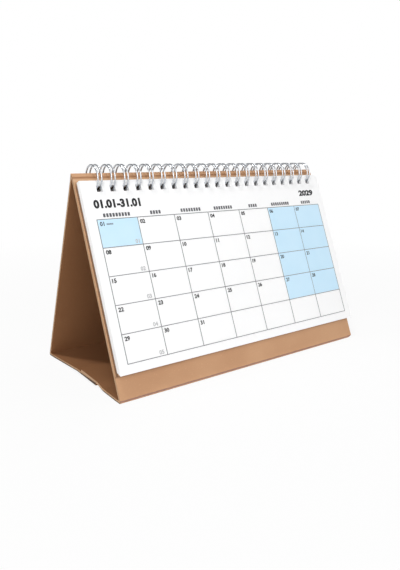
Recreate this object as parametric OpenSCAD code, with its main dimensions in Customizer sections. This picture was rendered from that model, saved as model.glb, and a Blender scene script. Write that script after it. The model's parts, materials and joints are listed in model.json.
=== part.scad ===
/* [Stand] */
// Width of the folded stand along its ridge
stand_width = 192.6; // [120:0.2:260]
// Depth of the stand over its front and back folds
base_depth = 97.8; // [80:0.2:130]
// Length of the front panel from its bottom fold up to the front crease
panel_slope = 127.1; // [100:0.1:160]
// Lean of the front panel away from upright, in degrees
front_lean = 21.8; // [18:0.1:26]
// Thickness of the board
board = 1.5; // [1:0.1:2]
// Width of the narrow strip between the two creases of the ridge
ridge_strip = 2.65; // [2:0.05:5]
// Rise of that strip towards the back, in degrees
ridge_rise = 45; // [25:1:55]
// Radius on the outside of each fold
fold_radius = 0.8; // [0.3:0.1:1]
// Cut across the lower right corner of the front panel, along its bottom edge
cut_along = 4; // [1:0.1:6]
// The same cut along the panel's side edge
cut_up = 1.7; // [1:0.1:4]

/* [Base flaps] */
// Length of the front flap, which lies on top
front_flap = 48.4; // [35:0.1:60]
// Length of the rear flap, which lies underneath
rear_flap = 68.5; // [60:0.1:76]
// Flat strip beside each bottom fold that meets the table
rest_strip = 6; // [4:0.5:9]
// Height of the bow under the middle of the base
base_bow = 2; // [1:0.1:3]
// Distance of the bow's highest line in front of the back fold
bow_distance = 43.8; // [30:0.1:55]
// Height of the rear flap's free end above the table
flap_end_lift = 1; // [0.2:0.1:1.5]
// Length over which the front flap steps up on to the rear flap
step_length = 11; // [8:0.5:16]

/* [Wire binding] */
// Number of double loops
loop_count = 21; // [9:2:27]
// Distance from one double loop to the next
loop_pitch = 8.4667; // [8:0.01:9.6]
// Radius of a loop to the middle of its wire
loop_radius = 7.6; // [7.4:0.05:8.4]
// Diameter of the wire
wire = 0.95; // [0.8:0.05:1.1]
// Distance between the two wires of one loop
twin_gap = 2.3; // [2:0.05:2.5]
// Height of the ridge above the middle of the loops
loop_drop = 2.6; // [2.2:0.1:3]
// Distance of that middle in front of the ridge's middle
loop_forward = 0.6; // [0:0.1:0.8]
// Half of the closing gap at the bottom of the loops, in degrees
closing_angle = 14; // [13:0.5:16]
// Turn of the closing gap towards the back, in degrees
closing_turn = 7; // [0:0.5:9]
// Bend radius where a loop runs into the spine wire
spine_bend = 1; // [0.8:0.1:1.2]

/* [Page pad] */
// Width of the pages
page_width = 192.3; // [120:0.1:260]
// Height of the pages
page_height = 109.3; // [90:0.1:125]
// Thickness of all the pages together
pad_thickness = 3.2; // [1:0.1:3.6]
// Distance of the pages' top edge below the front crease
page_drop = 3.2; // [2:0.1:5]
// Sideways shift of the pages and their wires along the ridge
page_shift = 1.5; // [-2:0.1:2]
// Space between the pages and the front panel
pad_clearance = 0.3; // [0.2:0.1:0.6]
// Width and height of each punched hole
hole_size = 3.6; // [3.5:0.1:4]
// Distance that the pages hang down on the wires
page_hang = 0.5; // [0:0.1:0.6]

/* [Print] */
// Width of one day cell
cell_width = 25.82; // [14:0.01:35]
// Height of one day cell
cell_height = 16.23; // [10:0.01:18]
// Distance of the grid's top line below the pages' top edge
grid_top = 22.7; // [18:0.1:28]
// Width of a printed line
line_width = 0.4; // [0.3:0.05:0.8]
// Thickness given to the print
print_thickness = 0.1; // [0.05:0.05:0.2]

/* [Hidden] */
$fn = 48;

columns = 7;
rows = 5;
weekend_column = 5;
// Room past a face for every cut that goes through it
past = 1;
step_points = 8;
fold_points = 4;
// Length of the joint between a loop and the spine wire, and how far its bead stands out
joint_gap = 0.1;
bead = 0.04;
joint_angle = atan(joint_gap / loop_radius);

// Outer corners of the folded board, seen from the side: [back, up]
front_fold = [-base_depth / 2, 0];
front_crease = front_fold + panel_slope * [sin(front_lean), cos(front_lean)];
back_crease = front_crease + ridge_strip * [cos(ridge_rise), sin(ridge_rise)];
back_fold = [base_depth / 2, 0];
back_lean = atan((back_fold.x - back_crease.x) / back_crease.y);

// Points of the base flaps
flap_end = back_fold - [rear_flap, -flap_end_lift];
bow_top = back_fold - [bow_distance, -base_bow];
step_start = [flap_end.x - step_length, flap_end_lift / 2];
front_flap_end = front_fold + [front_flap, under(front_fold.x + front_flap) + board];

// Middle of the loops, under the ridge, and the angles at which their wire begins and ends
loop_middle = [(front_crease.x + back_crease.x) / 2 - loop_forward, back_crease.y - loop_drop];
loop_start = closing_turn + closing_angle - 90;
loop_end = closing_turn - closing_angle + 270;

// Distances from the front panel's outer face to the two faces of the pages
pad_back = pad_clearance;
pad_front = pad_clearance + pad_thickness;

// Places where the wires cross the panels and the middle of the pages
front_hole = crossing(front_side(loop_middle), -board / 2);
page_crossings = [crossing(front_side(loop_middle), pad_back), crossing(front_side(loop_middle), pad_front)];
page_hole = (page_crossings[0] + page_crossings[1]) / 2 + page_hang;
back_hole = crossing(back_side(loop_middle), -board / 2);

grid_width = columns * cell_width;
grid_height = rows * cell_height;

// Height of the rear flap's outer face at a place along the base
function under(y) = y > bow_top.x
    ? base_bow * (back_fold.x - rest_strip - y) / (back_fold.x - rest_strip - bow_top.x)
    : flap_end_lift + (base_bow - flap_end_lift) * (y - flap_end.x) / (bow_top.x - flap_end.x);

// Smooth rise from 0 to 1
function ease(t) = (1 - cos(180 * t)) / 2;

// A point as [distance down the front panel, distance out of its face]
function front_side(p) = [
    (p - front_crease) * -[sin(front_lean), cos(front_lean)],
    (p - front_crease) * [-cos(front_lean), sin(front_lean)]
];

// A point as [distance down the back panel, distance out of its face]
function back_side(p) = [
    (p - back_crease) * [sin(back_lean), -cos(back_lean)],
    (p - back_crease) * [cos(back_lean), sin(back_lean)]
];

// Distance down a panel at which the loops cross a layer at the given height
function crossing(middle, height) = middle.x + sqrt(pow(loop_radius, 2) - pow(height - middle.y, 2));

// Where two faces, each one board inside two outer edges, meet
function inner_corner(a, b, c) = let(
    u = (b - a) / norm(b - a),
    v = (c - b) / norm(c - b),
    bisector = [-(u + v).y, (u + v).x]
) b + bisector * board / (bisector * [-u.y, u.x]);

// x position of one double loop
function loop_x(i) = page_shift + (i - (loop_count - 1) / 2) * loop_pitch;

// Round outer corner at b, as points on an arc that meets both edges
function round_corner(a, b, c) = let(
    u = (b - a) / norm(b - a),
    v = (c - b) / norm(c - b),
    turn = acos(u * v),
    start = b - u * fold_radius * tan(turn / 2),
    middle = start + fold_radius * [-u.y, u.x],
    first = atan2(-u.x, u.y)
) [for (i = [0 : fold_points])
    middle + fold_radius * [cos(first + turn * i / fold_points), sin(first + turn * i / fold_points)]];

// Side view of the folded board: one outline outside and one inside. The front flap
// steps up behind its fold and is glued on top of the rear flap.
module board_profile() {
    front_rest = front_fold + [rest_strip, 0];
    back_rest = back_fold - [rest_strip, 0];
    rise = flap_end.y + board - step_start.y;
    step_up = [for (i = [0 : step_points])
        step_start + [step_length * i / step_points, rise * ease(i / step_points)]];
    outer = concat(
        [flap_end, bow_top, back_rest],
        round_corner(back_rest, back_fold, back_crease),
        round_corner(back_fold, back_crease, front_crease),
        round_corner(back_crease, front_crease, front_fold),
        round_corner(front_crease, front_fold, front_rest),
        [front_rest],
        step_up
    );
    covers_bow = front_flap_end.x > bow_top.x;
    inner = concat(
        [front_rest + [0, board]],
        [for (p = step_up) p + [0, board]],
        covers_bow ? [bow_top + [0, 2 * board]] : [],
        [front_flap_end + [0, board], front_flap_end],
        covers_bow ? [] : [bow_top + [0, board]],
        [
            back_rest + [0, board],
            inner_corner(back_rest, back_fold, back_crease),
            inner_corner(back_fold, back_crease, front_crease),
            inner_corner(back_crease, front_crease, front_fold),
            inner_corner(front_crease, front_fold, front_rest)
        ]
    );
    outer_count = len(outer);
    polygon(concat(outer, inner), paths = [
        [for (i = [0 : outer_count - 1]) i],
        [for (i = [0 : len(inner) - 1]) outer_count + i]
    ]);
}

module along_ridge(length) {
    translate([-length / 2, 0, 0])
        rotate([90, 0, 90])
            linear_extrude(height = length)
                children();
}

// Frame on the front panel: x along the ridge, y up the slope, z out of the face
module on_front() {
    translate([0, front_crease.x, front_crease.y])
        rotate([90 - front_lean, 0, 0])
            children();
}

module on_back() {
    translate([0, back_crease.x, back_crease.y])
        rotate([90 + back_lean, 0, 0])
            children();
}

// A row of punches centred on the wires
module punches(down, low, high) {
    for (i = [0 : loop_count - 1])
        translate([loop_x(i) - hole_size / 2, -down - hole_size / 2, low])
            cube([hole_size, hole_size, high - low]);
}

// Wedge that clips the panel's lower right corner, and the fold behind it
module clipped_corner() {
    slant = [cut_along, cut_up];
    depth = 2 * (board + past);
    translate([stand_width / 2 - cut_along, -panel_slope, -depth])
        linear_extrude(height = depth + past)
            polygon([-slant, 2 * slant, [2 * cut_along, -cut_up]]);
}

module stand() {
    color([0.78, 0.61, 0.45])
        difference() {
            along_ridge(stand_width)
                board_profile();
            on_front()
                punches(front_hole, -board - past, past);
            on_back()
                punches(back_hole, -past, board + past);
            on_front()
                clipped_corner();
        }
}

// Bent piece of wire, from one angle to another
module wire_bend(radius, from, to) {
    rotate([0, 0, from])
        rotate_extrude(angle = to - from)
            translate([radius, 0])
                circle(d = wire);
}

// Frame at an angle on the loops: x along the ridge, y along the wire
module on_loop(angle) {
    translate([0, loop_middle.x, loop_middle.y])
        rotate([90, 0, 90])
            rotate([0, 0, angle])
                translate([loop_radius, 0, 0])
                    rotate([0, -90, 0])
                        children();
}

module double_loop() {
    for (side = [-1, 1])
        translate([side * twin_gap / 2, loop_middle.x, loop_middle.y])
            rotate([90, 0, 90])
                wire_bend(loop_radius, loop_start, loop_end - joint_angle);
    on_loop(loop_start)
        wire_bend(twin_gap / 2, 180, 360);
}

// Wire that carries one loop on to the next, with a small bead at each joint
module spine_wire() {
    bend_end = twin_gap / 2 + spine_bend;
    on_loop(loop_end) {
        for (x = [twin_gap / 2, loop_pitch - twin_gap / 2])
            translate([x, -joint_gap / 2, 0])
                rotate([90, 0, 0])
                    sphere(d = wire + 2 * bead);
        translate([bend_end, 0, 0])
            wire_bend(spine_bend, 90, 180);
        translate([bend_end, spine_bend, 0])
            rotate([0, 90, 0])
                cylinder(d = wire, h = loop_pitch - 2 * bend_end);
        translate([loop_pitch - bend_end, 0, 0])
            wire_bend(spine_bend, 0, 90);
    }
}

module wire_binding() {
    color([0.8, 0.8, 0.82])
        union() {
            for (i = [0 : loop_count - 1])
                translate([loop_x(i), 0, 0])
                    double_loop();
            for (i = [0 : loop_count - 2])
                translate([loop_x(i), 0, 0])
                    spine_wire();
        }
}

module page_pad() {
    color([0.96, 0.96, 0.96])
        on_front()
            difference() {
                translate([page_shift - page_width / 2, -page_drop - page_height, pad_back])
                    cube([page_width, page_height, pad_thickness]);
                punches(page_hole, pad_back - past, pad_front + past);
            }
}

// Frame on the front page with its origin at the grid's top left corner
module on_page() {
    on_front()
        translate([page_shift - grid_width / 2, -page_drop - grid_top, pad_front])
            children();
}

module printed_grid() {
    color([0.6, 0.6, 0.62])
        on_page()
            linear_extrude(height = print_thickness) {
                for (i = [0 : rows])
                    translate([-line_width / 2, -i * cell_height - line_width / 2])
                        square([grid_width + line_width, line_width]);
                for (i = [0 : columns])
                    translate([i * cell_width - line_width / 2, -grid_height - line_width / 2])
                        square([line_width, grid_height + line_width]);
            }
}

// Field of colour inside one cell, up to the lines round it
module cell_field(column, row) {
    translate([column * cell_width + line_width / 2, -(row + 1) * cell_height + line_width / 2])
        square([cell_width - line_width, cell_height - line_width]);
}

module shaded_days() {
    color([0.8, 0.92, 0.98])
        on_page()
            linear_extrude(height = print_thickness) {
                cell_field(0, 0);
                for (row = [0 : rows - 2])
                    for (column = [weekend_column : columns - 1])
                        cell_field(column, row);
            }
}

stand();
wire_binding();
page_pad();
printed_grid();
shaded_days();
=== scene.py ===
import json
import math
import random

import bmesh
import bpy
from mathutils import Matrix, Vector


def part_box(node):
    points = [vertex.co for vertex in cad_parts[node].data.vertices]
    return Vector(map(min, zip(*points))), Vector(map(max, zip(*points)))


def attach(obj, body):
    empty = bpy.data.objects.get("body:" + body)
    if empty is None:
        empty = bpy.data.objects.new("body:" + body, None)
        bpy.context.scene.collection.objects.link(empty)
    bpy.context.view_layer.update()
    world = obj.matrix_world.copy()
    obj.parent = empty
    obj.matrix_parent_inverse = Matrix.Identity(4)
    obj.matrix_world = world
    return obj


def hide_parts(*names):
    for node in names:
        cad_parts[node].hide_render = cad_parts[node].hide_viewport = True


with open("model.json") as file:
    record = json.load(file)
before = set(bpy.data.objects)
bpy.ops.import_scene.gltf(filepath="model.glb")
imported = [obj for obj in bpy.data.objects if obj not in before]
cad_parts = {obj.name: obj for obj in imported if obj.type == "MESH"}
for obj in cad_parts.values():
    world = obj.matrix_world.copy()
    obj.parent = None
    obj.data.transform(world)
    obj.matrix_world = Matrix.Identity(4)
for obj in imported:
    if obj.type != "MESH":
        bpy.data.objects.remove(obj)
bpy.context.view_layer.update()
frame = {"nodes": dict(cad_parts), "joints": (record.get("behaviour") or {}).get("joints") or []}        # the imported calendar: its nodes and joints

mm = 0.001
random.seed(31)

# Camera
cameraView = {
    "location": (-0.22728, -0.29439, 0.12842),
    "azimuth": -36.845,
    "elevation": 12.852,
    "lens": 35.054,      # mm, on a 36 mm sensor along the tall side
}
cameraData = bpy.data.cameras.new("studioCamera")
cameraData.lens = cameraView["lens"]
cameraData.sensor_width = 36
cameraData.clip_start = 0.01
camera = bpy.data.objects.new("studioCamera", cameraData)
camera.location = cameraView["location"]
camera.rotation_euler = (
    math.radians(90 - cameraView["elevation"]), 0, math.radians(cameraView["azimuth"]))
bpy.context.scene.collection.objects.link(camera)
bpy.context.scene.camera = camera
print("camera placed")

# Places on the calendar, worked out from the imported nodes
lean = math.radians(21.8)                 # the front panel leans back this much
padLow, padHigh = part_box("page_pad")
gridLow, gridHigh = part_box("printed_grid")
wireLow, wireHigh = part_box("wire_binding")
standLow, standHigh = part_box("stand")
loopMiddle = Vector(frame["joints"][0]["pos_m"])
wireMiddleX = (wireLow.x + wireHigh.x) / 2
slopeUp = Vector((0, math.sin(lean), math.cos(lean)))
outward = Vector((0, -math.cos(lean), math.sin(lean)))

padSize = padHigh - padLow
leanSpread = math.cos(lean) ** 2 - math.sin(lean) ** 2
padHeight = (padSize.z * math.cos(lean) - padSize.y * math.sin(lean)) / leanSpread
padThick = (padSize.y * math.cos(lean) - padSize.z * math.sin(lean)) / leanSpread
padMiddleX = (padLow.x + padHigh.x) / 2

# Page frame: x along the ridge, y up the slope, z out of the front page, origin at its top edge
pageTop = Vector((padMiddleX, padHigh.y - padThick * math.cos(lean), padHigh.z))
pageTurn = Matrix((Vector((1, 0, 0)), slopeUp, outward)).transposed().to_4x4()
pageFrame = Matrix.Translation(pageTop) @ pageTurn


# Node helpers
def newMaterial(name):
    material = bpy.data.materials.new(name)
    material.use_nodes = True
    return material, material.node_tree, material.node_tree.nodes["Principled BSDF"]


def addNode(tree, kind, inputs=None, **settings):
    node = tree.nodes.new(kind)
    for key, value in settings.items():
        setattr(node, key, value)
    for key, value in (inputs or {}).items():
        if isinstance(value, bpy.types.NodeSocket):
            tree.links.new(value, node.inputs[key])
        else:
            node.inputs[key].default_value = value
    return node


def maths(tree, operation, first, second=0.0):
    node = addNode(tree, "ShaderNodeMath", {0: first, 1: second}, operation=operation)
    return node.outputs[0]


def product(tree, *factors):
    result = factors[0]
    for factor in factors[1:]:
        result = maths(tree, "MULTIPLY", result, factor)
    return result


def under(tree, value, limit):
    return maths(tree, "LESS_THAN", value, limit)


def over(tree, value, limit):
    return maths(tree, "GREATER_THAN", value, limit)


def farFrom(tree, value, place):
    return maths(tree, "ABSOLUTE", maths(tree, "SUBTRACT", value, place))


def objectPoint(tree, scale=(1, 1, 1)):
    coordinates = addNode(tree, "ShaderNodeTexCoord")
    mapping = addNode(tree, "ShaderNodeMapping", {
        "Vector": coordinates.outputs["Object"], "Scale": scale})
    return mapping.outputs[0]


def noise(tree, vector, scale, detail=3.0, roughness=0.5):
    node = addNode(tree, "ShaderNodeTexNoise", {
        "Vector": vector, "Scale": scale, "Detail": detail, "Roughness": roughness})
    return node.outputs[0]


def blendColour(tree, share, first, second, kind="MIX"):
    node = addNode(tree, "ShaderNodeMix", data_type="RGBA", blend_type=kind)
    for key, value in ((0, share), (6, first), (7, second)):
        if isinstance(value, bpy.types.NodeSocket):
            tree.links.new(value, node.inputs[key])
        else:
            node.inputs[key].default_value = value
    return node.outputs[2]


def spread(tree, value, low, high, outLow=0.0, outHigh=1.0):
    node = addNode(tree, "ShaderNodeMapRange", {
        "Value": value, "From Min": low, "From Max": high, "To Min": outLow, "To Max": outHigh})
    return node.outputs[0]


def bumpFrom(tree, height, strength, distance):
    node = addNode(tree, "ShaderNodeBump", {
        "Height": height, "Strength": strength, "Distance": distance})
    return node.outputs[0]


# Mesh helpers
def finishPiece(name, bm, body, material, smooth=False):
    for face in bm.faces:
        face.smooth = smooth
    mesh = bpy.data.meshes.new(name)
    bm.to_mesh(mesh)
    bm.free()
    mesh.materials.append(material)
    piece = bpy.data.objects.new(name, mesh)
    bpy.context.scene.collection.objects.link(piece)
    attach(piece, body)
    return piece


def vertsOf(geometry):
    return [v for v in geometry if isinstance(v, bmesh.types.BMVert)]


def edgesOf(geometry):
    return [e for e in geometry if isinstance(e, bmesh.types.BMEdge)]


def addBlock(bm, low, high):
    size = Vector(high) - Vector(low)
    place = Matrix.Translation((Vector(high) + Vector(low)) / 2) @ Matrix.Diagonal((*size, 1))
    bmesh.ops.create_cube(bm, size=1, matrix=place)


# Board: kraft card, with a painted highlight and painted shade at its front crease and fold, painted
# shadows where the pages end, painted shade on its inner face, base cut end and hollow, and a paler core at
# its cut ends
kraft = {
    "face": (0.600, 0.350, 0.200, 1),
    "shade": (0.525, 0.290, 0.158, 1),
    "fibre": (0.735, 0.465, 0.285, 1),
    "inner": (0.47, 0.375, 0.285, 1),     # the inner face is darker by this: its own duller tone and painted shade inside the tent
    "wander": 0.8 * mm,                   # how far the edges of the marks stray along the fibres
    "crease": (0.330, 0.160, 0.075, 1),   # painted shade: dark line in the front crease
    "creaseWidth": 0.9 * mm,
    "creaseHighlight": (0.660, 0.435, 0.270, 1),     # painted highlight: pale band under that line
    "bandStart": (0.8 * mm, 1.4 * mm),
    "bandEnd": (2.2 * mm, 4.0 * mm),
    "footShade": (0.250, 0.135, 0.120, 1), # painted shade: dark line along the underside of the front fold
    "footHeight": 1.2 * mm,
    "footWidth": (0.15 * mm, 0.55 * mm),
    "pageShadow": (0.170, 0.090, 0.048, 1),   # painted shadow lines where the pages end
    "pageShadowBelow": (0.2 * mm, 0.9 * mm),
    "pageShadowBeside": (0.8 * mm, 1.2 * mm),
    "pageShadowFrom": (2.0 * mm, 6.0 * mm),
    "board": 1.5 * mm,
    "core": (0.580, 0.365, 0.215, 1),
    "skin": (0.240, 0.120, 0.055, 1),
    "outerSkin": (0.08, 0.30),            # the two skins at a cut end, as shares of the board
    "innerSkin": (0.80, 0.95),
    "gapShade": (0.060, 0.035, 0.025, 1),     # painted shade on the base's cut end
    "lowFlap": (-19.6 * mm, -0.5 * mm),   # the rear flap lies under the front one between these places
    "lowFlapTop": 2.7 * mm,
    "bowRise": 2.0 / 43.8,                # slopes of the base's under side, behind its bow and in front
    "bowFall": 0.0405,
    "bowLevel": 1.79 * mm,
    "rim": 0.60 * mm,
    "hollowShade": (0.020, 0.013, 0.010, 1),   # painted shade in the hollow under the ridge
    "hollowFrom": 100 * mm,
    "hollowHalf": 88 * mm,
    "swell": 0.35 * mm,                   # how far the scored board swells over the back crease
    "swellDown": 3.0 * mm,                # and how far down the back panel it runs out
    "foldProud": 0.02 * mm,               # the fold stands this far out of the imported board
    "foldSink": 0.3 * mm,
}
stand = frame["nodes"]["stand"]


def largestFace(test):
    return max((face for face in stand.data.polygons if test(face.normal)), key=lambda face: face.area)


def meeting(first, second):
    # Where two of the stand's planes meet, seen from the side
    turn = Matrix(((first.normal.y, first.normal.z), (second.normal.y, second.normal.z)))
    levels = Vector((first.center.dot(first.normal), second.center.dot(second.normal)))
    return Vector((0, *(turn.inverted() @ levels)))


# Outer planes of the folded board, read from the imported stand, and its two creases
frontFace = largestFace(lambda normal: normal.y < -0.5 and 0.2 < normal.z < 0.6)
backFace = largestFace(lambda normal: normal.y > 0.5 and normal.z > 0.2)
stripFace = largestFace(lambda normal: normal.y < -0.5 and normal.z > 0.6)
frontCrease = meeting(frontFace, stripFace)
pageEnd = (frontCrease - pageTop).dot(slopeUp) + padHeight      # down the front panel from its crease
backCrease = meeting(backFace, stripFace)


def along(tree, point, direction, start):
    node = addNode(tree, "ShaderNodeVectorMath", {0: point, 1: direction}, operation="DOT_PRODUCT")
    return maths(tree, "SUBTRACT", node.outputs["Value"], start.dot(direction))


def distanceOf(tree, first, second):
    squares = maths(tree, "ADD", product(tree, first, first), product(tree, second, second))
    return maths(tree, "SQRT", squares)


def placeOnBoard(tree, point, strands):
    # Where a point lies: how far down the front panel and off it, and how deep in the board
    parts = addNode(tree, "ShaderNodeSeparateXYZ", {0: point})
    depths = [along(tree, point, -face.normal, face.center) for face in (frontFace, backFace, stripFace)]
    return {
        "x": parts.outputs["X"],
        "y": parts.outputs["Y"],
        "z": parts.outputs["Z"],
        "down": along(tree, point, -slopeUp, frontCrease),
        "lift": along(tree, point, outward, frontCrease),
        "depth": maths(tree, "MINIMUM", maths(tree, "MINIMUM", depths[0], depths[1]), depths[2]),
        "wander": product(tree, maths(tree, "SUBTRACT", strands, 0.5), kraft["wander"]),
    }


def fibreColour(tree, cloud, strands, flecks):
    colour = blendColour(tree, spread(tree, cloud, 0.35, 0.65), kraft["shade"], kraft["face"])
    colour = blendColour(tree, spread(tree, flecks, 0.62, 0.75, 0, 0.35), colour, kraft["fibre"])
    return blendColour(tree, spread(tree, strands, 0.55, 0.8, 0, 0.30), colour, kraft["shade"])


def addFoldLightAndShade(tree, colour, place):
    # Painted highlight band and painted shade line at the front crease, and painted shade along the
    # underside of the front fold
    bandStart = spread(tree, maths(tree, "ADD", place["down"], place["wander"]), *kraft["bandStart"])
    highlightShare = product(tree, bandStart, spread(tree, place["down"], *kraft["bandEnd"], 0.7, 0),
                        over(tree, place["lift"], -0.3 * mm))
    colour = blendColour(tree, highlightShare, colour, kraft["creaseHighlight"])
    creaseDistance = maths(tree, "ADD", distanceOf(tree, place["down"], place["lift"]), place["wander"])
    creaseShare = spread(tree, creaseDistance, kraft["creaseWidth"] * 0.3, kraft["creaseWidth"], 0.75, 0)
    colour = blendColour(tree, creaseShare, colour, kraft["crease"])
    foot = maths(tree, "ADD", farFrom(tree, place["z"], kraft["footHeight"]), place["wander"])
    foot = spread(tree, foot, *kraft["footWidth"], 0.85, 0)
    atFront = under(tree, place["y"], standLow.y + 3 * mm)
    return blendColour(tree, product(tree, foot, atFront), colour, kraft["footShade"])


def addPageShadows(tree, colour, place):
    # Painted shadow of the pages on the board: under their bottom edge and beside their left edge
    below = maths(tree, "ADD", farFrom(tree, place["down"], pageEnd), place["wander"])
    below = spread(tree, below, *kraft["pageShadowBelow"], 0.55, 0)
    beside = maths(tree, "SUBTRACT", padLow.x, maths(tree, "ADD", place["x"], place["wander"]))
    beside = product(tree, spread(tree, beside, *kraft["pageShadowBeside"], 1, 0),
                     under(tree, place["down"], pageEnd),
                     under(tree, place["x"], padLow.x + 0.5 * mm),
                     spread(tree, place["down"], *kraft["pageShadowFrom"], 0, 0.9))
    onFace = over(tree, place["lift"], -0.2 * mm)
    pageShadow = product(tree, maths(tree, "MAXIMUM", below, beside), onFace)
    return blendColour(tree, pageShadow, colour, kraft["pageShadow"])


def addCutEnds(tree, colour, point, place):
    # The inner face, darker by its own tone and by painted shade, and the board's two skins and its core at
    # the cut ends
    depth = maths(tree, "MINIMUM", place["depth"], place["z"])
    colour = blendColour(tree, over(tree, depth, 0.7 * kraft["board"]), colour, kraft["inner"], "MULTIPLY")
    ply = product(tree, maths(tree, "SUBTRACT", noise(tree, point, 3000, 2, 0.5), 0.5), 0.2)
    layer = maths(tree, "ADD", maths(tree, "DIVIDE", depth, kraft["board"]), ply)
    skins = maths(tree, "MAXIMUM", spread(tree, layer, *kraft["outerSkin"], 1, 0),
                  spread(tree, layer, *kraft["innerSkin"]))
    skins = product(tree, skins, under(tree, place["depth"], 1.05 * kraft["board"]))
    side = addNode(tree, "ShaderNodeNewGeometry")
    sideParts = addNode(tree, "ShaderNodeSeparateXYZ", {0: side.outputs["True Normal"]})
    cutShare = over(tree, maths(tree, "ABSOLUTE", sideParts.outputs["X"]), 0.9)
    colour = blendColour(tree, cutShare, colour, blendColour(tree, skins, kraft["core"], kraft["skin"]))

    # Painted shade on the rear flap's cut end under the front flap, and on the rim of the base, which bows
    # up off the floor
    low = under(tree, maths(tree, "ADD", place["z"], place["wander"]), kraft["lowFlapTop"])
    underFlap = product(tree, over(tree, place["y"], kraft["lowFlap"][0]),
                    under(tree, place["y"], kraft["lowFlap"][1]), low)
    behind = product(tree, maths(tree, "SUBTRACT", standHigh.y, place["y"]), kraft["bowRise"])
    ahead = maths(tree, "ADD", product(tree, place["y"], kraft["bowFall"]), kraft["bowLevel"])
    above = maths(tree, "SUBTRACT", place["z"], maths(tree, "MINIMUM", behind, ahead))
    rim = under(tree, maths(tree, "ADD", above, place["wander"]), kraft["rim"])
    gapShadeShare = product(tree, maths(tree, "MAXIMUM", underFlap, rim), cutShare, 0.9)
    return blendColour(tree, gapShadeShare, colour, kraft["gapShade"])


def addHollowShade(tree, colour, place):
    # Painted shade in the hollow under the ridge, which shows only through the punched holes
    hidden = product(tree, over(tree, place["depth"], 0.15 * mm),
                     over(tree, place["z"], kraft["hollowFrom"]),
                     under(tree, maths(tree, "ABSOLUTE", place["x"]), kraft["hollowHalf"]), 0.9)
    return blendColour(tree, hidden, colour, kraft["hollowShade"])


def kraftMaterial():
    material, tree, shader = newMaterial("kraftBoard")
    point = objectPoint(tree)
    cloud = noise(tree, point, 18, 3, 0.55)
    strands = noise(tree, objectPoint(tree, (0.16, 1, 1)), 2600, 3, 0.6)
    flecks = noise(tree, point, 1400, 2, 0.5)
    place = placeOnBoard(tree, point, strands)
    colour = fibreColour(tree, cloud, strands, flecks)
    colour = addFoldLightAndShade(tree, colour, place)
    colour = addPageShadows(tree, colour, place)
    colour = addCutEnds(tree, colour, point, place)
    colour = addHollowShade(tree, colour, place)
    tree.links.new(colour, shader.inputs["Base Color"])
    tree.links.new(spread(tree, cloud, 0.3, 0.7, 0.62, 0.80), shader.inputs["Roughness"])
    shader.inputs["Specular IOR Level"].default_value = 0.25
    relief = maths(tree, "ADD", product(tree, strands, 0.6), product(tree, flecks, 0.4))
    tree.links.new(bumpFrom(tree, relief, 0.35, 0.06 * mm), shader.inputs["Normal"])
    return material


kraftBoard = kraftMaterial()
stand.data.materials.clear()
stand.data.materials.append(kraftBoard)


def makeRidgeFold():
    # The board stands up in a sharp, slightly swollen edge where it is scored
    proud = kraft["foldProud"]
    backDown = Vector((0, backFace.normal.z, -backFace.normal.y))
    start = frontCrease + stripFace.normal * proud
    top = backCrease + (backFace.normal + stripFace.normal).normalized() * kraft["swell"]
    runOut = backCrease + backDown * kraft["swellDown"] + backFace.normal * proud
    inside = (frontCrease + runOut) / 2 - Vector((0, 0, kraft["foldSink"]))
    leftEnd = Vector((standLow.x - proud, 0, 0))
    bm = bmesh.new()
    corners = [bm.verts.new(corner + leftEnd) for corner in (start, top, runOut, inside)]
    made = bmesh.ops.contextual_create(bm, geom=corners)
    raised = bmesh.ops.extrude_face_region(bm, geom=made["faces"])
    lifted = vertsOf(raised["geom"])
    bmesh.ops.translate(bm, verts=lifted, vec=(standHigh.x - standLow.x + 2 * proud, 0, 0))
    bmesh.ops.recalc_face_normals(bm, faces=bm.faces)
    finishPiece("ridge_fold", bm, "stand_and_wire", kraftBoard)


makeRidgeFold()
print("stand finished")

# Binding: one wire bent into double loops that close under the ridge
binding = {
    "loops": 21,
    "wire": 0.95 * mm,
    "twinGap": 2.3 * mm,
    "closing": 14,         # half of the gap where a loop closes, in degrees
    "turn": 7,             # how far that gap is turned to the back, in degrees
    "spineBend": 1.0 * mm,
    "dark": (0.52, 0.55, 0.59, 1),
    "light": (0.70, 0.72, 0.75, 1),
    "roughness": (0.24, 0.36),
    "sides": 12,
    "loopSteps": 54,
    "tipSteps": 10,
    "bendSteps": 5,
}


def wireMaterial():
    material, tree, shader = newMaterial("silverWire")
    cloud = noise(tree, objectPoint(tree), 900, 3, 0.5)
    scratches = noise(tree, objectPoint(tree, (6, 1, 1)), 2500, 2, 0.6)
    colour = blendColour(tree, cloud, binding["dark"], binding["light"])
    tree.links.new(colour, shader.inputs["Base Color"])
    tree.links.new(spread(tree, cloud, 0.3, 0.7, *binding["roughness"]), shader.inputs["Roughness"])
    shader.inputs["Metallic"].default_value = 1
    tree.links.new(bumpFrom(tree, scratches, 0.12, 0.02 * mm), shader.inputs["Normal"])
    return material


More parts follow.
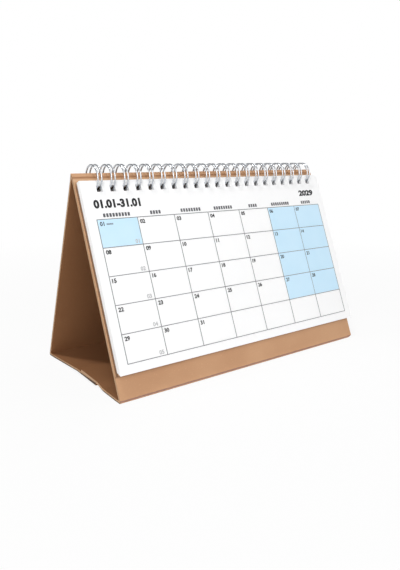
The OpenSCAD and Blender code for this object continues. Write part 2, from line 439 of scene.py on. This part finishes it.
def makeBinding():
    bm = bmesh.new()
    count = binding["loops"]
    gap = binding["twinGap"]
    bend = binding["spineBend"]
    radius = wireHigh.z - loopMiddle.z - binding["wire"] / 2
    pitch = (wireHigh.x - wireLow.x - gap - binding["wire"]) / (count - 1)
    startAngle = math.radians(270 - binding["closing"] + binding["turn"])
    tipAngle = math.radians(binding["closing"] + binding["turn"] - 90)
    across = Vector((1, 0, 0))

    def onLoop(x, angle):
        return Vector((x, loopMiddle.y + radius * math.cos(angle), loopMiddle.z + radius * math.sin(angle)))

    def turn(centre, axis, angle, steps):
        made = bmesh.ops.spin(bm, geom=ring, cent=centre, axis=axis, angle=angle,
                              steps=steps, use_merge=False, use_duplicate=False)
        return made["geom_last"]

    tipWay = Vector((0, math.sin(tipAngle), -math.cos(tipAngle)))
    rootWay = Vector((0, -math.sin(startAngle), math.cos(startAngle)))
    x = wireMiddleX - (count - 1) / 2 * pitch
    facing = (-rootWay).to_track_quat("Z", "Y").to_matrix().to_4x4()
    made = bmesh.ops.create_circle(bm, segments=binding["sides"], radius=binding["wire"] / 2,
                                   matrix=Matrix.Translation(onLoop(x - gap / 2, startAngle)) @ facing)
    ring = made["verts"] + list({edge for vert in made["verts"] for edge in vert.link_edges})
    centre = Vector((x, loopMiddle.y, loopMiddle.z))
    ring = turn(centre, across, tipAngle - startAngle, binding["loopSteps"])
    ring = turn(onLoop(x, tipAngle), tipWay.cross(across), math.pi, binding["tipSteps"])
    ring = turn(centre, across, startAngle - tipAngle, binding["loopSteps"])
    oneLoop = bm.verts[:] + bm.edges[:] + bm.faces[:]

    # The spine wire carries one loop on to the next
    root = onLoop(x + gap / 2, startAngle)
    ring = turn(root + across * bend, rootWay.cross(across), math.pi / 2, binding["bendSteps"])
    made = bmesh.ops.extrude_edge_only(bm, edges=edgesOf(ring))
    corners = vertsOf(made["geom"])
    ring = corners + [e for e in edgesOf(made["geom"]) if all(v in corners for v in e.verts)]
    bmesh.ops.translate(bm, verts=corners, vec=across * (pitch - gap - 2 * bend))
    nextRoot = onLoop(x + pitch - gap / 2, startAngle)
    turn(nextRoot - across * bend, rootWay.cross(across), math.pi / 2, binding["bendSteps"])
    loopAndSpine = bm.verts[:] + bm.edges[:] + bm.faces[:]

    for i in range(1, count):
        made = bmesh.ops.duplicate(bm, geom=loopAndSpine if i < count - 1 else oneLoop)
        bmesh.ops.translate(bm, verts=vertsOf(made["geom"]), vec=across * pitch * i)
    bmesh.ops.remove_doubles(bm, verts=bm.verts, dist=0.005 * mm)
    bmesh.ops.holes_fill(bm, edges=[edge for edge in bm.edges if edge.is_boundary])
    bmesh.ops.recalc_face_normals(bm, faces=bm.faces)
    piece = finishPiece("wire_binding_loops", bm, "stand_and_wire", wireMaterial(),
                        smooth=True)
    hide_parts("wire_binding")
    return piece, pitch, radius


wirePiece, loopPitch, loopRadius = makeBinding()
print("wire bent,", len(wirePiece.data.polygons), "faces")

# Pages: punched sheets hanging on the wire
sheets = {
    "count": 13,
    "thick": 0.20 * mm,
    "hole": 3.6 * mm,
    "hang": 0.5 * mm,        # how far the sheets hang down on the wires
    "sideways": 0.12 * mm,   # how far a sheet may sit out of line
    "shortest": 2.0 * mm,    # how much higher the last sheet ends
    "white": (0.93, 0.93, 0.935, 1),
    "whiter": (0.96, 0.96, 0.96, 1),
    "grain": (0.88, 0.88, 0.88, 1),
}


def paperMaterial():
    material, tree, shader = newMaterial("whitePaper")
    cloud = noise(tree, objectPoint(tree), 25, 3, 0.5)
    grain = noise(tree, objectPoint(tree, (1, 0.5, 1)), 3500, 3, 0.6)
    colour = blendColour(tree, cloud, sheets["white"], sheets["whiter"])
    colour = blendColour(tree, spread(tree, grain, 0.55, 0.8, 0, 0.25), colour, sheets["grain"])
    tree.links.new(colour, shader.inputs["Base Color"])
    tree.links.new(spread(tree, grain, 0.3, 0.7, 0.48, 0.62), shader.inputs["Roughness"])
    shader.inputs["Specular IOR Level"].default_value = 0.3
    tree.links.new(bumpFrom(tree, grain, 0.2, 0.02 * mm), shader.inputs["Normal"])
    return material


def holeDown():
    # The loop crosses the front page and the last one at slightly different heights
    middle = pageFrame.inverted() @ loopMiddle
    crossings = [middle.y - math.sqrt(loopRadius ** 2 - (middle.z - z) ** 2) for z in (0, -padThick)]
    return sum(crossings) / 2 - sheets["hang"]


def addSheet(bm, z, sideways, height):
    made = bmesh.new()
    width = padSize.x - 2 * sheets["sideways"]
    place = Matrix.Translation((sideways, -height / 2, z)) @ Matrix.Diagonal((width, height, 1, 1))
    bmesh.ops.create_grid(made, x_segments=1, y_segments=1, size=0.5, matrix=place)
    half = sheets["hole"] / 2
    row = holeDown()
    firstX = wireMiddleX - padMiddleX - (binding["loops"] - 1) / 2 * loopPitch
    centres = [firstX + i * loopPitch for i in range(binding["loops"])]
    cuts = [((x + s * half, 0, 0), (1, 0, 0)) for x in centres for s in (-1, 1)]
    cuts += [((0, row + s * half, 0), (0, 1, 0)) for s in (-1, 1)]
    for point, normal in cuts:
        bmesh.ops.bisect_plane(made, geom=made.verts[:] + made.edges[:] + made.faces[:],
                               plane_co=point, plane_no=normal)
    punched = []
    for face in made.faces:
        middle = face.calc_center_median()
        if abs(middle.y - row) < half and any(abs(middle.x - x) < half for x in centres):
            punched.append(face)
    bmesh.ops.delete(made, geom=punched, context="FACES")
    raised = bmesh.ops.extrude_face_region(made, geom=made.faces[:])
    bmesh.ops.translate(made, verts=vertsOf(raised["geom"]), vec=(0, 0, -sheets["thick"]))
    mesh = bpy.data.meshes.new("sheetDraft")
    made.to_mesh(mesh)
    made.free()
    bm.from_mesh(mesh)
    bpy.data.meshes.remove(mesh)


def makePages():
    bm = bmesh.new()
    last = sheets["count"] - 1
    for i in range(sheets["count"]):
        share = i / last
        z = -(padThick - sheets["thick"]) * share
        sideways = random.uniform(-1, 1) * sheets["sideways"] if i else 0
        addSheet(bm, z, sideways, padHeight - sheets["shortest"] * share)
    bmesh.ops.recalc_face_normals(bm, faces=bm.faces)
    bmesh.ops.transform(bm, matrix=pageFrame, verts=bm.verts)
    piece = finishPiece("page_sheets", bm, "pages", paperMaterial())
    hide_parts("page_pad")
    return piece


pagePiece = makePages()
print("pages punched,", len(pagePiece.data.polygons), "faces")

# Print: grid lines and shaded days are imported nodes, and the figures are added on top
printing = {
    "columns": 7,
    "rows": 5,
    "days": 31,
    "line": 0.4 * mm,
    "relief": 0.13 * mm,      # how far the figures stand out of the paper
    "dayHeight": 2.5 * mm,
    "dayInset": (1.3 * mm, 1.35 * mm),
    "weekHeight": 2.5 * mm,
    "weekInset": (1.9 * mm, 0.9 * mm),
    "headingHeight": 5.1 * mm,
    "headingWidth": 30 * mm,
    "yearHeight": 4.3 * mm,
    "yearWidth": 14.5 * mm,
    "yearInset": 3.0 * mm,
    "heading": "01.01-31.01",
    "year": "2029",
    "headingAbove": 6.35 * mm,
    "yearAbove": 6.9 * mm,
    "weight": 0.030,          # how much the strokes of the figures are thickened
    "headingWeight": 0.048,
    "black": ((0.012, 0.012, 0.014, 1), (0.022, 0.022, 0.024, 1)),
    "grey": ((0.10, 0.10, 0.11, 1), (0.14, 0.14, 0.15, 1)),
    "light": ((0.48, 0.48, 0.49, 1), (0.55, 0.55, 0.56, 1)),
    "lines": ((0.16, 0.165, 0.175, 1), (0.20, 0.205, 0.215, 1)),
    "blue": ((0.572, 0.792, 0.945, 1), (0.602, 0.812, 0.960, 1)),
    "roughness": (0.44, 0.56),
}
gridLeft = gridLow.x + printing["line"] / 2 - padMiddleX
gridRight = gridHigh.x - printing["line"] / 2 - padMiddleX
cellWidth = (gridRight - gridLeft) / printing["columns"]
gridTall = (gridHigh.z - gridLow.z) / math.cos(lean)
cornerIn = pageFrame.inverted() @ Vector((0, gridHigh.y, gridHigh.z))
gridTop = cornerIn.y - printing["line"] / 2
cellHeight = (gridTall - printing["line"]) / printing["rows"]


def inkMaterial(name, colour, paler):
    material, tree, shader = newMaterial(name)
    cloud = noise(tree, objectPoint(tree), 60, 2, 0.5)
    grain = noise(tree, objectPoint(tree), 3800, 3, 0.6)
    mixed = blendColour(tree, spread(tree, cloud, 0.35, 0.65), colour, paler)
    mixed = blendColour(tree, spread(tree, grain, 0.5, 0.8, 0, 0.3), mixed, paler)
    tree.links.new(mixed, shader.inputs["Base Color"])
    tree.links.new(spread(tree, grain, 0.3, 0.7, *printing["roughness"]), shader.inputs["Roughness"])
    shader.inputs["Specular IOR Level"].default_value = 0.3
    tree.links.new(bumpFrom(tree, grain, 0.15, 0.02 * mm), shader.inputs["Normal"])
    return material


blackInk = inkMaterial("blackInk", *printing["black"])
greyInk = inkMaterial("greyInk", *printing["grey"])
lightInk = inkMaterial("lightInk", *printing["light"])
lineInk = inkMaterial("lineInk", *printing["lines"])
blueInk = inkMaterial("blueInk", *printing["blue"])

for nodeName, ink, slotName in (("printed_grid", lineInk, "grey_print"),
                                ("shaded_days", blueInk, "blue_print")):
    printed = frame["nodes"][nodeName]
    printed.data.materials.clear()
    printed.data.materials.append(ink)


def figureMesh(text, weight):
    curve = bpy.data.curves.new("figures", "FONT")
    curve.body = text
    curve.size = 1
    curve.resolution_u = 3
    curve.offset = weight
    holder = bpy.data.objects.new("figures", curve)
    bpy.context.scene.collection.objects.link(holder)
    bpy.context.view_layer.update()
    evaluated = holder.evaluated_get(bpy.context.evaluated_depsgraph_get())
    mesh = bpy.data.meshes.new_from_object(evaluated)
    bpy.data.objects.remove(holder)
    bpy.data.curves.remove(curve)
    return mesh


def addFigures(bm, text, height, left=None, right=None, base=None, top=None, width=None,
               weight=printing["weight"]):
    flat = bmesh.new()
    mesh = figureMesh(text, weight)
    flat.from_mesh(mesh)
    bpy.data.meshes.remove(mesh)
    low = Vector((min(v.co.x for v in flat.verts), min(v.co.y for v in flat.verts), 0))
    high = Vector((max(v.co.x for v in flat.verts), max(v.co.y for v in flat.verts), 0))
    tall = height / (high.y - low.y)
    wide = width / (high.x - low.x) if width else tall
    x = left if left is not None else right - (high.x - low.x) * wide
    y = base if base is not None else top - height
    bmesh.ops.translate(flat, verts=flat.verts, vec=-low)
    bmesh.ops.scale(flat, verts=flat.verts, vec=(wide, tall, 1))
    bmesh.ops.translate(flat, verts=flat.verts, vec=(x, y, 0))
    bmesh.ops.remove_doubles(flat, verts=flat.verts, dist=0.001 * mm)
    raised = bmesh.ops.extrude_face_region(flat, geom=flat.faces[:])
    bmesh.ops.translate(flat, verts=vertsOf(raised["geom"]), vec=(0, 0, printing["relief"]))
    bmesh.ops.recalc_face_normals(flat, faces=flat.faces)
    mesh = bpy.data.meshes.new("figureDraft")
    flat.to_mesh(mesh)
    flat.free()
    bm.from_mesh(mesh)
    bpy.data.meshes.remove(mesh)


def finishPrint(name, bm, ink):
    bmesh.ops.transform(bm, matrix=pageFrame, verts=bm.verts)
    return finishPiece(name, bm, "pages", ink)


def makeDayNumbers():
    bm = bmesh.new()
    for day in range(printing["days"]):
        column, row = day % printing["columns"], day // printing["columns"]
        addFigures(bm, f"{day + 1:02d}", printing["dayHeight"],
                   left=gridLeft + column * cellWidth + printing["dayInset"][0],
                   top=gridTop - row * cellHeight - printing["dayInset"][1])
    return finishPrint("day_numbers", bm, blackInk)


def makeWeekNumbers():
    bm = bmesh.new()
    for row in range(printing["rows"]):
        addFigures(bm, f"{row + 1:02d}", printing["weekHeight"],
                   right=gridLeft + cellWidth - printing["weekInset"][0],
                   base=gridTop - (row + 1) * cellHeight + printing["weekInset"][1])
    return finishPrint("week_numbers", bm, lightInk)


def makeHeading():
    bm = bmesh.new()
    addFigures(bm, printing["heading"], printing["headingHeight"], left=gridLeft,
               base=gridTop + printing["headingAbove"], width=printing["headingWidth"],
               weight=printing["headingWeight"])
    addFigures(bm, printing["year"], printing["yearHeight"], right=gridRight - printing["yearInset"],
               base=gridTop + printing["yearAbove"], width=printing["yearWidth"],
               weight=printing["headingWeight"])
    return finishPrint("page_heading", bm, blackInk)


# Plain marks stand where each column has its name
marks = {
    "letters": (9, 4, 8, 8, 4, 9, 5),
    "tall": 2.1 * mm,
    "wide": 1.3 * mm,
    "step": 1.95 * mm,
    "above": 1.2 * mm,
    "noteLetters": 7,
    "noteTall": 0.9 * mm,
    "noteWide": 0.4 * mm,
    "noteStep": 0.6 * mm,
    "noteLeft": 5.4 * mm,
}


def makeMarks():
    bm = bmesh.new()
    for column, count in enumerate(marks["letters"]):
        centre = gridLeft + (column + 0.5) * cellWidth
        first = centre - (count - 1) / 2 * marks["step"] - marks["wide"] / 2
        for i in range(count):
            x = first + i * marks["step"]
            y = gridTop + marks["above"]
            addBlock(bm, (x, y, 0), (x + marks["wide"], y + marks["tall"], printing["relief"]))
    for i in range(marks["noteLetters"]):
        x = gridLeft + marks["noteLeft"] + i * marks["noteStep"]
        y = gridTop - printing["dayInset"][1] - printing["dayHeight"] * 0.8
        addBlock(bm, (x, y, 0), (x + marks["noteWide"], y + marks["noteTall"], printing["relief"]))
    return finishPrint("column_marks", bm, greyInk)


makeDayNumbers()
makeWeekNumbers()
makeHeading()
makeMarks()
print("print added")

# Studio: white floor, white background and soft lamps
studio = {
    "floorSize": 6.0,
    "floorWhite": 0.90,
    "floorGlow": 0.90,      # how much of the floor by the stand the camera sees as plain white
    "glowStart": 0.20,      # from here outwards the floor fades to plain white
    "glowEnd": 0.55,
    "world": 0.42,
    "darkSide": (-0.80, 0.55, 0.20),   # the studio is dark towards this side
    "darkShare": 0.12,
    "keyPower": 8.0,
    "keySize": 1.0,
    "keyPlace": (-0.52, -1.00, 0.74),
    "topPower": 4.4,
    "topSize": 0.10,
    "topPlace": (-0.28, 0.05, 1.15),
    "sidePower": 1.5,
    "sideSize": 0.25,
    "sidePlace": (-0.90, -0.45, 0.25),
}


def seenRays(tree, path):
    # Rays that show the plain white background: the camera's, and those seen in metal
    seen = maths(tree, "MAXIMUM", path.outputs["Is Camera Ray"], path.outputs["Is Glossy Ray"])
    return maths(tree, "MAXIMUM", seen, path.outputs["Is Transmission Ray"])


def makeFloor():
    bm = bmesh.new()
    bmesh.ops.create_grid(bm, x_segments=1, y_segments=1, size=studio["floorSize"] / 2)
    bmesh.ops.translate(bm, verts=bm.verts, vec=(0, 0, standLow.z - 0.05 * mm))
    mesh = bpy.data.meshes.new("floor")
    bm.to_mesh(mesh)
    bm.free()
    floor = bpy.data.objects.new("floor", mesh)
    bpy.context.scene.collection.objects.link(floor)
    material, tree, shader = newMaterial("floorPaper")
    grain = noise(tree, objectPoint(tree), 40, 3, 0.5)
    white = studio["floorWhite"]
    whiter = white + 0.01
    colour = blendColour(tree, grain, (white, white, white, 1), (whiter, whiter, whiter, 1))
    tree.links.new(colour, shader.inputs["Base Color"])
    shader.inputs["Roughness"].default_value = 0.9
    shader.inputs["Specular IOR Level"].default_value = 0.1
    path = addNode(tree, "ShaderNodeLightPath")
    seen = seenRays(tree, path)
    glow = addNode(tree, "ShaderNodeEmission", {"Color": (1, 1, 1, 1), "Strength": 1.0})
    far = addNode(tree, "ShaderNodeVectorMath", {0: objectPoint(tree)}, operation="LENGTH")
    glowShare = spread(tree, far.outputs["Value"], studio["glowStart"], studio["glowEnd"],
                       studio["floorGlow"], 1)
    share = product(tree, seen, glowShare)
    mixed = addNode(tree, "ShaderNodeMixShader", {0: share, 1: shader.outputs[0], 2: glow.outputs[0]})
    tree.links.new(mixed.outputs[0], tree.nodes["Material Output"].inputs["Surface"])
    mesh.materials.append(material)


def makeWorld():
    world = bpy.data.worlds.new("studioWorld")
    bpy.context.scene.world = world
    world.use_nodes = True
    tree = world.node_tree
    path = addNode(tree, "ShaderNodeLightPath")
    background = tree.nodes["Background"]
    background.inputs["Color"].default_value = (1, 1, 1, 1)
    seen = seenRays(tree, path)
    share = spread(tree, seen, 0, 1, studio["world"], 1.0)
    towards = addNode(tree, "ShaderNodeTexCoord").outputs["Generated"]
    facing = along(tree, towards, Vector(studio["darkSide"]).normalized(), Vector((0, 0, 0)))
    dimmed = spread(tree, facing, 0.15, 0.80, 1, studio["darkShare"])
    dimmed = maths(tree, "MAXIMUM", dimmed, path.outputs["Is Camera Ray"])
    share = product(tree, share, dimmed)
    tree.links.new(share, background.inputs["Strength"])


def makeLamp(name, place, size, power, target=(0, 0, 0.05)):
    lamp = bpy.data.lights.new(name, "AREA")
    lamp.shape = "SQUARE"
    lamp.size = size
    lamp.energy = power
    holder = bpy.data.objects.new(name, lamp)
    holder.location = place
    holder.rotation_euler = (Vector(target) - Vector(place)).to_track_quat("-Z", "Y").to_euler()
    bpy.context.scene.collection.objects.link(holder)


makeFloor()
makeWorld()
makeLamp("keyLamp", studio["keyPlace"], studio["keySize"], studio["keyPower"])
makeLamp("topLamp", studio["topPlace"], studio["topSize"], studio["topPower"])
makeLamp("sideLamp", studio["sidePlace"], studio["sideSize"], studio["sidePower"])
bpy.context.scene.view_settings.view_transform = "Standard"
print("studio lit")
